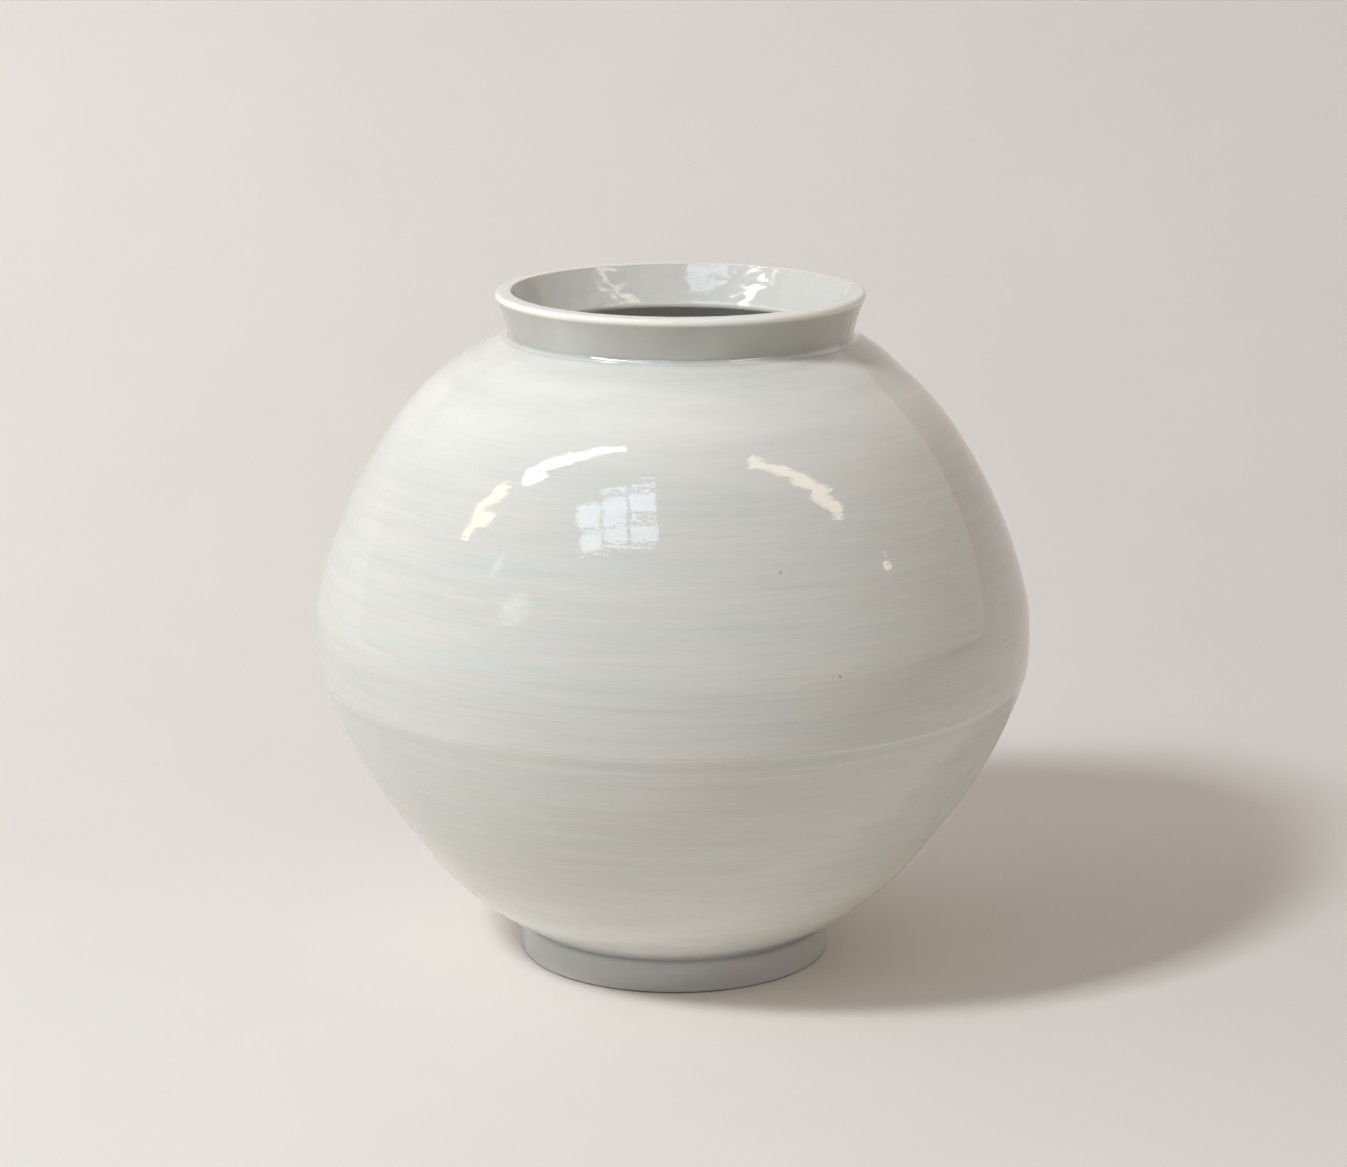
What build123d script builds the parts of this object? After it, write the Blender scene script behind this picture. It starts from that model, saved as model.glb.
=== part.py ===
from build123d import *
import os

# Moon jar: two thrown porcelain bowls luted rim to rim, with a thrown collar and foot ring luted on.
# Millimetres. The origin is on the floor under the middle of the foot, +Z up.

# Whole jar
total_height = 450.0  # floor to the top of the lip
belly_diameter = 475.0  # over the widest part of the upper bowl
wall = 8.0  # bowl wall at the waist and along the flanks
slip = 1.0  # thickness of the clay slip in each luted joint

# Foot ring
foot_diameter = 207.0
foot_height = 24.0  # floor to the flat underside of the lower bowl
foot_wall = 14.0
foot_edge_round = 1.5  # rounding of the two edges that meet the floor

# Lower bowl
waist_height = 198.0  # floor to the middle of the joint between the bowls
waist_set_in = 2.3  # how far the waist lies inside the widest part
flank_drop = 94.0  # waist to the lower end of the curved flank
flank_set_in = 47.2  # how far that end lies inside the waist
haunch_rise = 24.6  # height of the straight haunch under the curved flank
haunch_reach = 18.1  # how far the haunch leans out over that height
haunch_wall = 10.0  # wall at the lower end of the haunch
floor_thickness = 12.0  # in the middle of the bowl

# Joint between the bowls
key_depth = 3.0  # depth of the V groove in the lower rim
bead_depth = 3.0  # how far the smoothed slip stands in from the wall
bead_width = 16.0  # height of the smoothed slip on the inside

# Upper bowl
belly_rise = 33.4  # waist to the widest part
knuckle_rise = 19.2  # widest part to the end of the tight turn above it
knuckle_set_in = 2.35  # how far that end lies inside the widest part
shoulder_drop = 60.0  # collar joint down to the start of the shoulder
shoulder_reach = 71.4  # how far that start lies outside the collar
shoulder_wall = 9.0
throat_wall = 7.0  # thickness of the bowl's edge around the throat
throat_undercut = 7.0  # how far that edge curves back under the throat

# Mouth collar
mouth_diameter = 243.0  # over the lip
collar_diameter = 227.5  # over the foot of the collar
collar_wall = 16.75  # at the foot of the collar, out from the throat
collar_height = 28.0
lip_width = 10.3  # lip from its outside to its inner edge
lip_round = 5.0  # rounding of the lip's outer edge
lip_edge_round = 1.2  # rounding of the lip's inner edge
throat_land = 3.0  # upright edge at the bottom of the collar's funnel
throat_round = 2.0  # rounding above that edge

# Radii and levels that follow from the sizes above
belly_radius = belly_diameter / 2
waist_radius = belly_radius - waist_set_in
foot_radius = foot_diameter / 2
foot_bore_radius = foot_radius - foot_wall
collar_radius = collar_diameter / 2
throat_radius = collar_radius - collar_wall
mouth_radius = mouth_diameter / 2
foot_top = foot_height - slip
collar_foot = total_height - collar_height
collar_seat = collar_foot - slip

up = (0, 1)
down = (0, -1)


def inset(line, share, depth):
    """Point square in from an outline that runs upwards, on its inner side."""
    along = line % share
    return line @ share + Vector(-along.Y, along.X) * depth


def rim(level):
    """Outer edge, middle and inner edge of the keyed joint face between the bowls."""
    return (
        (waist_radius, level),
        (waist_radius - wall / 2, level - key_depth),
        (waist_radius - wall, level),
    )


lower_rim = rim(waist_height - slip / 2)
upper_rim = rim(waist_height + slip / 2)

# Foot ring, with its two floor edges rounded
with BuildPart() as foot_ring:
    with BuildSketch() as foot_plan:
        Circle(foot_radius)
        Circle(foot_bore_radius, mode=Mode.SUBTRACT)
    extrude(amount=foot_top)
    floor_edges = foot_ring.edges().filter_by(GeomType.CIRCLE).group_by(Axis.Z)[0]
    fillet(floor_edges, radius=foot_edge_round)

# Slip between the foot ring and the flat underside of the lower bowl
with BuildPart() as foot_slip_seam:
    with BuildSketch(Plane.XY.offset(foot_top)) as foot_seam_plan:
        Circle(foot_radius)
        Circle(foot_bore_radius, mode=Mode.SUBTRACT)
    extrude(amount=slip)

# Lower bowl: base curve, straight haunch and curved flank up to the grooved rim
with BuildPart() as lower_bowl:
    with BuildSketch(Plane.XZ) as lower_section:
        with BuildLine() as lower_outline:
            foot_edge = (foot_radius, foot_height)
            inner_floor = (0, foot_height + floor_thickness)
            flank_end = Vector(waist_radius - flank_set_in, waist_height - flank_drop)
            haunch = Line(flank_end - Vector(haunch_reach, haunch_rise), flank_end)
            TangentArc(haunch @ 0, foot_edge, tangent=-(haunch % 0))
            TangentArc(haunch @ 1, lower_rim[0], tangent=haunch % 1)
            Polyline(*lower_rim)
            inner_haunch = Line(inset(haunch, 0, haunch_wall), inset(haunch, 1, wall))
            TangentArc(inner_haunch @ 1, lower_rim[2], tangent=inner_haunch % 1)
            Spline(inner_haunch @ 0, inner_floor, tangents=(-(inner_haunch % 0), (-1, 0)))
            Polyline(inner_floor, (0, foot_height), foot_edge)
        make_face()
    revolve(axis=Axis.Z)

# Upper bowl: tongued rim, widest part, flank and shoulder up to the flat seat of the collar
with BuildPart() as upper_bowl:
    with BuildSketch(Plane.XZ) as upper_section:
        with BuildLine() as upper_outline:
            belly_height = waist_height + belly_rise
            widest = (belly_radius, belly_height)
            knuckle_end = (belly_radius - knuckle_set_in, belly_height + knuckle_rise)
            shoulder_start = (collar_radius + shoulder_reach, collar_seat - shoulder_drop)
            seat_edge = (collar_radius, collar_seat)
            TangentArc(widest, upper_rim[0], tangent=down)
            knuckle = TangentArc(widest, knuckle_end, tangent=up)
            flank = TangentArc(knuckle_end, shoulder_start, tangent=knuckle % 1)
            TangentArc(shoulder_start, seat_edge, tangent=flank % 1)

            inner_widest = (belly_radius - wall, belly_height)
            throat_top = (throat_radius, collar_seat)
            throat_edge = (throat_radius + throat_undercut, collar_seat - throat_wall)
            TangentArc(inner_widest, upper_rim[2], tangent=down)
            inner_knuckle = TangentArc(inner_widest, inset(knuckle, 1, wall), tangent=up)
            inner_shoulder = inset(flank, 1, shoulder_wall)
            inner_flank = TangentArc(inner_knuckle @ 1, inner_shoulder, tangent=inner_knuckle % 1)
            TangentArc(inner_shoulder, throat_edge, tangent=inner_flank % 1)

            Polyline(*upper_rim)
            Line(seat_edge, throat_top)
            TangentArc(throat_top, throat_edge, tangent=down)
        make_face()
    revolve(axis=Axis.Z)

# Slip between the bowls, smoothed into a low bead on the inside
with BuildPart() as waist_slip_seam:
    with BuildSketch(Plane.XZ) as waist_seam_section:
        with BuildLine() as waist_seam_outline:
            Polyline(*lower_rim, *reversed(upper_rim), close=True)
        make_face()
    revolve(axis=Axis.Z)
    with BuildSketch(Plane.XZ) as bead_section:
        with Locations((waist_radius - wall, waist_height)):
            Ellipse(bead_depth, bead_width / 2)
    revolve(axis=Axis.Z)
    add(lower_bowl.part, mode=Mode.SUBTRACT)
    add(upper_bowl.part, mode=Mode.SUBTRACT)

# Slip between the upper bowl and the collar
with BuildPart() as collar_slip_seam:
    with BuildSketch(Plane.XY.offset(collar_seat)) as collar_seam_plan:
        Circle(collar_radius)
        Circle(throat_radius, mode=Mode.SUBTRACT)
    extrude(amount=slip)

# Mouth collar: straight flare outside, rounded lip, funnel inside down to the throat
with BuildPart() as mouth_collar:
    with BuildSketch(Plane.XZ) as collar_section:
        with BuildLine() as collar_outline:
            lip_side = (mouth_radius, total_height - lip_round)
            lip_top = (mouth_radius - lip_round, total_height)
            Line((collar_radius, collar_foot), lip_side)
            TangentArc(lip_side, lip_top, tangent=up)
            FilletPolyline(
                lip_top,
                (mouth_radius - lip_width, total_height),
                (throat_radius, collar_foot + throat_land),
                (throat_radius, collar_foot),
                radius=[lip_edge_round, throat_round],
            )
            Line((throat_radius, collar_foot), (collar_radius, collar_foot))
        make_face()
    revolve(axis=Axis.Z)

foot_ring.part.label = "foot_ring"
foot_slip_seam.part.label = "foot_slip_seam"
lower_bowl.part.label = "lower_bowl"
waist_slip_seam.part.label = "waist_slip_seam"
upper_bowl.part.label = "upper_bowl"
collar_slip_seam.part.label = "collar_slip_seam"
mouth_collar.part.label = "mouth_collar"

os.makedirs("parts", exist_ok=True)
export_step(foot_ring.part, "parts/foot_ring.step")
export_step(foot_slip_seam.part, "parts/foot_slip_seam.step")
export_step(lower_bowl.part, "parts/lower_bowl.step")
export_step(waist_slip_seam.part, "parts/waist_slip_seam.step")
export_step(upper_bowl.part, "parts/upper_bowl.step")
export_step(collar_slip_seam.part, "parts/collar_slip_seam.step")
export_step(mouth_collar.part, "parts/mouth_collar.step")
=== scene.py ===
"""Moon jar: two thrown bowls luted at the waist, with a collar and a foot ring, under clear glaze."""

import logging
import math
from dataclasses import dataclass
from enum import Enum
from typing import Any, Sequence

import bpy
import numpy as np
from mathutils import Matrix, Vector


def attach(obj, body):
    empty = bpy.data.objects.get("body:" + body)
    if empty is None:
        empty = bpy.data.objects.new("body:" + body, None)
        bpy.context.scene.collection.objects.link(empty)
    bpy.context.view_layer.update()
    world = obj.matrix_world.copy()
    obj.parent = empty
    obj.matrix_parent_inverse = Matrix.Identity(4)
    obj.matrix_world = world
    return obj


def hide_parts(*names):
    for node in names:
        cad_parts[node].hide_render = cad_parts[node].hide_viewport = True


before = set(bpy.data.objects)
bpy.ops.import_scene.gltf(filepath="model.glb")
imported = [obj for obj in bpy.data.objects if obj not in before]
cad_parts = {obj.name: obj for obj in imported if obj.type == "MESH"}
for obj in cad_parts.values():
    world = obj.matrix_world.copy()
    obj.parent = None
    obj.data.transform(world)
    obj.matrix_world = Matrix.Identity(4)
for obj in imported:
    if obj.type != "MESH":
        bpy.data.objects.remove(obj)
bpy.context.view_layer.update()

log = logging.getLogger("moon_jar")

MM = 0.001
BODY = "root"
FLOAT = "NodeSocketFloat"
VECTOR = "NodeSocketVector"

Point = tuple[float, float]
Place = tuple[float, float, float]
Colour = tuple[float, float, float]

# Level, height and half width of a low ridge, in millimetres, with a hollow below zero
Roll = tuple[float, float, float]

IRON: Colour = (0.16, 0.12, 0.08)


class Slot(Enum):
    """Material slots of the record."""

    BOWL = "bowl_glaze"
    COLLAR = "collar_glaze"
    FOOT = "foot_glaze"
    SLIP = "slip"


class Marks(Enum):
    """How strongly the throwing marks show on a stretch of an outline."""

    NONE = 0.0
    FAINT = 0.35
    FULL = 1.0


class Shine(Enum):
    """What a lamp does: whether it lights surfaces, and whether it shows as a glint in the glaze."""

    LIGHT = (True, False)
    GLINT = (False, True)


class Depth(Enum):
    """Where the glaze lies thinner or thicker than elsewhere, and where the colour is lightened as
    painted light or darkened as painted shade.
    """

    THIN = "thin"
    POOLED_AND_PAINTED_SHADE = "pooled"


class Graph:
    """Adds nodes to one node tree and joins them."""

    def __init__(self, tree: bpy.types.NodeTree) -> None:
        """Keep the tree.

        Args:
            tree: The shader, world or geometry tree to work in.
        """
        self.tree = tree

    def add(self, kind: str, inputs: dict[Any, Any] | None = None, **settings: Any) -> bpy.types.Node:
        """Add a node.

        Args:
            kind: Blender's identifier of the node type.
            inputs: Values or sockets for its inputs, by name or index.
            settings: Properties of the node itself.

        Returns:
            The new node.
        """
        node = self.tree.nodes.new(kind)
        for name, value in settings.items():
            setattr(node, name, value)
        for key, value in (inputs or {}).items():
            self.feed(node.inputs[key], value)
        return node

    def feed(self, socket: bpy.types.NodeSocket, value: Any) -> None:
        """Link a socket into an input, or set the input's own value."""
        if isinstance(value, bpy.types.NodeSocket):
            self.tree.links.new(value, socket)
        elif socket.type == "RGBA" and len(value) == 3:
            socket.default_value = (*value, 1.0)
        else:
            socket.default_value = value

    def math(self, operation: str, *values: Any, clamp: bool = False) -> bpy.types.NodeSocket:
        """Add a Math node.

        Args:
            operation: Name of the operation.
            values: One to three numbers or sockets.
            clamp: Whether the result is held between 0 and 1.

        Returns:
            The result socket.
        """
        node = self.add("ShaderNodeMath", dict(enumerate(values)), operation=operation, use_clamp=clamp)
        return node.outputs[0]

    def vector_math(self, operation: str, *values: Any) -> bpy.types.NodeSocket:
        """Add a Vector Math node and return its vector, or its number for a length."""
        node = self.add("ShaderNodeVectorMath", operation=operation)
        for index, value in enumerate(values):
            key = "Scale" if operation == "SCALE" and index == 1 else index
            self.feed(node.inputs[key], value)
        return node.outputs["Value"] if operation == "LENGTH" else node.outputs["Vector"]

    def combine(self, x: Any, y: Any, z: Any) -> bpy.types.NodeSocket:
        """Join three numbers into a vector."""
        return self.add("ShaderNodeCombineXYZ", {0: x, 1: y, 2: z}).outputs[0]

    def separate(self, vector: bpy.types.NodeSocket) -> list[bpy.types.NodeSocket]:
        """Split a vector into its three numbers."""
        return list(self.add("ShaderNodeSeparateXYZ", {0: vector}).outputs)

    def noise(
        self, vector: Any, scale: Any, detail: float, roughness: float = 0.5
    ) -> bpy.types.NodeSocket:
        """Add a 3-D Noise texture.

        Args:
            vector: Where it is read.
            scale: Its scale.
            detail: Octaves.
            roughness: Weight of each finer octave.

        Returns:
            The noise value, about 0.5 on average.
        """
        inputs = {"Vector": vector, "Scale": scale, "Detail": detail, "Roughness": roughness}
        node = self.add("ShaderNodeTexNoise", inputs, noise_dimensions="3D")
        return node.outputs[0]

    def ramp(
        self, value: Any, low: Any, high: Any, start: Any = 0.0, end: Any = 1.0
    ) -> bpy.types.NodeSocket:
        """Ease a number from start to end as it goes from low to high.

        Args:
            value: The number.
            low: Where the change begins.
            high: Where it ends.
            start: Result at low and before it.
            end: Result at high and after it.

        Returns:
            The eased value.
        """
        inputs = {0: value, 1: low, 2: high, 3: start, 4: end}
        node = self.add("ShaderNodeMapRange", inputs, interpolation_type="SMOOTHSTEP")
        return node.outputs[0]

    def mix(self, factor: Any, first: Any, second: Any) -> bpy.types.NodeSocket:
        """Mix two colours by a factor."""
        node = self.add("ShaderNodeMix", data_type="RGBA")
        sockets = (node.inputs[0], node.inputs[6], node.inputs[7])
        for socket, value in zip(sockets, (factor, first, second)):
            self.feed(socket, value)
        return node.outputs[2]


def named_inputs(tree: bpy.types.NodeTree, sockets: dict[str, tuple[str, Any]]) -> None:
    """Give a node group its inputs.

    Args:
        tree: The group.
        sockets: Socket type and default value by input name.
    """
    for name, (kind, value) in sockets.items():
        socket = tree.interface.new_socket(name=name, in_out="INPUT", socket_type=kind)
        if value is not None:
            socket.default_value = value


# Outlines of the thrown pieces


def straight(start: Point, end: Point, step: float) -> np.ndarray:
    """Points along a straight run.

    Args:
        start: First radius and level in millimetres.
        end: Last radius and level.
        step: Longest spacing.

    Returns:
        An array of radius and level rows.
    """
    first, last = np.array(start, float), np.array(end, float)
    count = max(1, math.ceil(np.hypot(*(last - first)) / step))
    return first + np.linspace(0, 1, count + 1)[:, None] * (last - first)


def tangent_arc(start: Point, heading: Point, end: Point, step: float) -> np.ndarray:
    """Points along the arc that leaves a point in a given direction and ends at another.

    Args:
        start: First radius and level in millimetres.
        heading: Direction at the start.
        end: Last radius and level.
        step: Longest spacing.

    Returns:
        An array of radius and level rows.
    """
    first, chord = np.array(start, float), np.array(end, float) - np.array(start, float)
    along = np.array(heading, float) / np.hypot(*heading)
    turn = along[0] * chord[1] - along[1] * chord[0]
    half = math.atan2(abs(turn), along @ chord)
    if half < 1e-4:
        return straight(start, end, step)
    side = np.array((-along[1], along[0])) * math.copysign(1, turn)
    radius = np.hypot(*chord) / (2 * math.sin(half))
    count = max(2, math.ceil(2 * half * radius / step))
    angle = np.linspace(0, 2 * half, count + 1)[:, None]
    return first + radius * (np.sin(angle) * along + (1 - np.cos(angle)) * side)


def eased(start: Point, heading: Point, end: Point, end_heading: Point, step: float) -> np.ndarray:
    """Points along a smooth curve with a given direction at each end.

    Args:
        start: First radius and level in millimetres.
        heading: Direction at the start.
        end: Last radius and level.
        end_heading: Direction at the end.
        step: Spacing along the straight line between the ends.

    Returns:
        An array of radius and level rows.
    """
    first, last = np.array(start, float), np.array(end, float)
    reach = np.hypot(*(last - first))
    leave, arrive = (reach * np.array(way, float) / np.hypot(*way) for way in (heading, end_heading))
    share = np.linspace(0, 1, max(2, math.ceil(reach / step)) + 1)[:, None]
    square, cube = share**2, share**3
    ends = (2 * cube - 3 * square + 1) * first + (3 * square - 2 * cube) * last
    return ends + (cube - 2 * square + share) * leave + (cube - square) * arrive


def heading_at_end(rows: np.ndarray) -> Point:
    """Direction in which a run of points ends."""
    step = rows[-1] - rows[-2]
    return tuple(step / np.hypot(*step))


def inset(place: Point, heading: Point, depth: float) -> Point:
    """Point square in from an outer wall that runs upwards."""
    return (place[0] - heading[1] * depth, place[1] + heading[0] * depth)


def rolled(rows: np.ndarray, rolls: Sequence[Roll]) -> np.ndarray:
    """Add low ridges or hollows to an outer wall.

    Args:
        rows: Radius and level rows in millimetres.
        rolls: The ridges and hollows.

    Returns:
        The rows with the ridges' heights added to their radii.
    """
    rows = rows.copy()
    for level, height, width in rolls:
        rows[:, 0] += height * np.exp(-(((rows[:, 1] - level) / width) ** 2))
    return rows


class Outline:
    """Half section of a thrown piece, followed with the clay on its right."""

    def __init__(self) -> None:
        """Start with no runs."""
        self.rows: list[np.ndarray] = []
        self.facing: list[np.ndarray] = []
        self.marks: list[np.ndarray] = []
        self.filled: dict[Depth, list[np.ndarray]] = {depth: [] for depth in Depth}
        self.touches: list[tuple[Depth, Point, float, float]] = []

    def run(self, rows: np.ndarray, marks: Marks = Marks.NONE, **layers: float) -> "Outline":
        """Add a run of points that starts where the last one ended.

        Args:
            rows: Radius and level rows in millimetres.
            marks: How strongly the throwing marks show on the run.
            layers: Strength on the whole run, by name, of the thin glaze with painted light or of the
                pooled glaze with painted shade.

        Returns:
            The outline itself, so that runs can be chained.
        """
        along = np.gradient(rows, axis=0)
        along /= np.maximum(np.hypot(along[:, 0], along[:, 1]), 1e-9)[:, None]
        out = np.stack([-along[:, 1], along[:, 0]], 1)
        weight = np.full(len(rows), marks.value)
        if self.rows and np.allclose(self.rows[-1][-1], rows[0], atol=1e-6):
            if weight[0] > self.marks[-1][-1]:
                self.facing[-1][-1], self.marks[-1][-1] = out[0], weight[0]
            rows, out, weight = rows[1:], out[1:], weight[1:]
        self.rows.append(rows)
        self.facing.append(out)
        self.marks.append(weight)
        for depth, parts in self.filled.items():
            parts.append(np.full(len(rows), layers.get(depth.value, 0.0)))
        return self

    def touch(self, depth: Depth, place: Point, width: float, amount: float) -> "Outline":
        """Make the glaze thin or pooled around a place on the outline, lightening it as painted light or
        darkening it as painted shade.

        Args:
            depth: Which of the two.
            place: Radius and level in millimetres.
            width: Distance over which it fades.
            amount: Its strength at the place.

        Returns:
            The outline itself, so that touches can be chained.
        """
        self.touches.append((depth, place, width, amount))
        return self

    def glaze(self, depth: Depth) -> np.ndarray:
        """Strength of thin glaze with painted light, or of pooled glaze with painted shade, at each
        point.
        """
        rows = np.concatenate(self.rows)
        total = np.concatenate(self.filled[depth])
        for kind, place, width, amount in self.touches:
            if kind is depth:
                gap = np.hypot(rows[:, 0] - place[0], rows[:, 1] - place[1])
                total = np.maximum(total, amount * np.exp(-((gap / width) ** 2)))
        return total

    def mesh(self, name: str) -> bpy.types.Mesh:
        """Turn the outline into loose points in metres, with their facing, marks and glaze.

        Args:
            name: Name of the new mesh.

        Returns:
            The mesh.
        """
        rows, facing = np.concatenate(self.rows) * MM, np.concatenate(self.facing)
        flat = np.zeros(len(rows))
        mesh = bpy.data.meshes.new(name)
        mesh.from_pydata(np.stack([rows[:, 0], flat, rows[:, 1]], 1).tolist(), [], [])
        vectors = np.stack([facing[:, 0], flat, facing[:, 1]], 1).astype(np.float32)
        data = mesh.attributes.new("facing", "FLOAT_VECTOR", "POINT").data
        data.foreach_set("vector", vectors.ravel())
        weights = {"marks": np.concatenate(self.marks)}
        weights.update({depth.value: self.glaze(depth) for depth in Depth})
        for key, values in weights.items():
            data = mesh.attributes.new(key, "FLOAT", "POINT").data
            data.foreach_set("value", values.astype(np.float32))
        return mesh


@dataclass(frozen=True)
class Throwing:
    """How far the jar was left from a true turned form: lengths in millimetres, the corner in degrees."""

    turns: int = 320
    ring_depth: float = 0.1
    ring_pitch: float = 13.0
    ring_drift: float = 1.1
    fine_depth: float = 0.022
    fine_pitch: float = 5.0
    fine_drift: float = 1.6
    lump_depth: float = 0.05
    lump_pitch: float = 13.0
    wobble: float = 0.5
    wobble_scale: float = 0.8
    wobble_rise: float = 5.0
    bowl_shift: float = -1.5
    collar_shift: float = 4.0
    collar_tip: float = 0.007
    shift_starts: Point = (203.0, 245.0)
    shift_ends: Point = (392.0, 421.0)
    tip_levels: Point = (398.0, 424.0)
    centre: float = 215.0
    reach: float = 237.0
    corner: float = 32.0
    seed: float = 4.7


class Wheel:
    """Throws outlines into closed forms with a geometry node tree."""

    def __init__(self, throwing: Throwing) -> None:
        """Build the tree.

        Args:
            throwing: The marks and shifts that all the pieces share.
        """
        self.throwing = throwing
        self.tree = self._tree()

    def _sockets(self) -> dict[str, tuple[str, Any]]:
        """Names, types and values of the tree's inputs."""
        hands = self.throwing
        lengths = {
            "Ring Depth": hands.ring_depth,
            "Ring Pitch": hands.ring_pitch,
            "Fine Depth": hands.fine_depth,
            "Fine Pitch": hands.fine_pitch,
            "Lump Depth": hands.lump_depth,
            "Lump Pitch": hands.lump_pitch,
            "Wobble": hands.wobble,
            "Bowl Shift": hands.bowl_shift,
            "Collar Shift": hands.collar_shift,
            "Centre": hands.centre,
            "Reach": hands.reach,
        }
        sockets = {name: (FLOAT, value * MM) for name, value in lengths.items()}
        return {
            "Turns": ("NodeSocketInt", hands.turns),
            **sockets,
            "Collar Tip": (FLOAT, hands.collar_tip),
            "Seed": (FLOAT, hands.seed),
            "Finish": ("NodeSocketMaterial", None),
        }

    def _tree(self) -> bpy.types.NodeTree:
        """Build the tree that turns an outline and adds the throwing marks."""
        hands = self.throwing
        tree = bpy.data.node_groups.new("thrown_form", "GeometryNodeTree")
        tree.is_modifier = True
        tree.interface.new_socket(name="Outline", in_out="INPUT", socket_type="NodeSocketGeometry")
        named_inputs(tree, self._sockets())
        tree.interface.new_socket(name="Form", in_out="OUTPUT", socket_type="NodeSocketGeometry")
        graph = Graph(tree)
        given = graph.add("NodeGroupInput").outputs

        # A sheet with one row for each point of the outline and one column for each step of the turn
        inputs = {"Geometry": given["Outline"]}
        size = graph.add("GeometryNodeAttributeDomainSize", inputs, component="MESH")
        count = size.outputs["Point Count"]
        columns = graph.math("ADD", given["Turns"], 1)
        sheet = graph.add("GeometryNodeMeshGrid", {"Vertices X": columns, "Vertices Y": count})
        index = graph.add("GeometryNodeInputIndex").outputs[0]
        row = graph.math("FLOORED_MODULO", index, count)
        column = graph.math("FLOOR", graph.math("DIVIDE", graph.math("ADD", index, 0.5), count))

        def along(kind: str, value: bpy.types.NodeSocket) -> bpy.types.NodeSocket:
            """Read a value of the outline at this row."""
            sample = graph.add("GeometryNodeSampleIndex", data_type=kind, domain="POINT")
            for key, socket in (("Geometry", given["Outline"]), ("Value", value), ("Index", row)):
                graph.feed(sample.inputs[key], socket)
            return sample.outputs[0]

        def named(kind: str, name: str) -> bpy.types.NodeSocket:
            """Read a named attribute."""
            node = graph.add("GeometryNodeInputNamedAttribute", {"Name": name}, data_type=kind)
            return node.outputs[0]

        position = graph.add("GeometryNodeInputPosition").outputs[0]
        radius, _, level = graph.separate(along("FLOAT_VECTOR", position))
        out, _, lift = graph.separate(along("FLOAT_VECTOR", named("FLOAT_VECTOR", "facing")))
        marks = along("FLOAT", named("FLOAT", "marks"))

        # The turn runs clockwise, which puts the clay on the inner side of every face
        angle = graph.math("MULTIPLY", column, graph.math("DIVIDE", -2 * math.pi, given["Turns"]))
        cosine, sine = graph.math("COSINE", angle), graph.math("SINE", angle)
        height = graph.math("SUBTRACT", level, given["Centre"])
        sweep = graph.math("MULTIPLY", graph.math("ARCTAN2", height, radius), given["Reach"])

        def ring(depth: str, pitch: str, drift: float) -> bpy.types.NodeSocket:
            """Height of the throwing rings of one pitch."""
            place = graph.math("ADD", graph.math("DIVIDE", sweep, given[pitch]), given["Seed"])
            x, y = (graph.math("MULTIPLY", part, drift) for part in (cosine, sine))
            bump = graph.math("SUBTRACT", graph.noise(graph.combine(x, y, place), 1.0, 1.0), 0.5)
            return graph.math("MULTIPLY", bump, graph.math("MULTIPLY", given[depth], 2.0))

        coarse = ring("Ring Depth", "Ring Pitch", hands.ring_drift)
        rings = graph.math("ADD", coarse, ring("Fine Depth", "Fine Pitch", hands.fine_drift))
        x, y = (graph.math("MULTIPLY", radius, part) for part in (cosine, sine))
        scale = graph.math("DIVIDE", 1.0, given["Lump Pitch"])
        spot = graph.vector_math("SCALE", graph.combine(x, y, level), scale)
        lump = graph.math("SUBTRACT", graph.noise(spot, 1.0, 1.0), 0.5)
        swing = graph.math("MULTIPLY", given["Lump Depth"], 2.0)
        rings = graph.math("MULTIPLY_ADD", lump, swing, rings)
        rings = graph.math("MULTIPLY", rings, marks)
        slow = graph.combine(cosine, sine, graph.math("MULTIPLY", level, hands.wobble_rise))
        wobble = graph.math("SUBTRACT", graph.noise(slow, hands.wobble_scale, 0.0), 0.5)
        swing = graph.math("MULTIPLY", given["Wobble"], 2.0)
        radius = graph.math("ADD", radius, graph.math("MULTIPLY", wobble, swing))
        flat = graph.math("ADD", radius, graph.math("MULTIPLY", out, rings))
        climb = graph.math("ADD", level, graph.math("MULTIPLY", lift, rings))

        # The upper bowl and the collar are each set a little off the axis, and the collar is tipped
        shifts = (hands.shift_starts, hands.shift_ends)
        first, second = ([edge * MM for edge in edges] for edges in shifts)
        bowl = graph.ramp(level, *first, 0.0, given["Bowl Shift"])
        shift = graph.ramp(level, *second, bowl, given["Collar Shift"])
        x = graph.math("ADD", graph.math("MULTIPLY", flat, cosine), shift)
        y = graph.math("MULTIPLY", flat, sine)
        tip = graph.ramp(level, *(edge * MM for edge in hands.tip_levels), 0.0, given["Collar Tip"])
        place = graph.combine(x, y, graph.math("MULTIPLY_ADD", y, tip, climb))
        inputs = {"Geometry": sheet.outputs["Mesh"], "Position": place}
        form = graph.add("GeometryNodeSetPosition", inputs)
        for depth in Depth:
            inputs = {"Name": depth.value, "Value": along("FLOAT", named("FLOAT", depth.value))}
            inputs["Geometry"] = form.outputs[0]
            kind = "GeometryNodeStoreNamedAttribute"
            form = graph.add(kind, inputs, data_type="FLOAT", domain="POINT")
        form = graph.add("GeometryNodeMergeByDistance", {"Geometry": form.outputs[0], "Distance": 1e-6})

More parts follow.
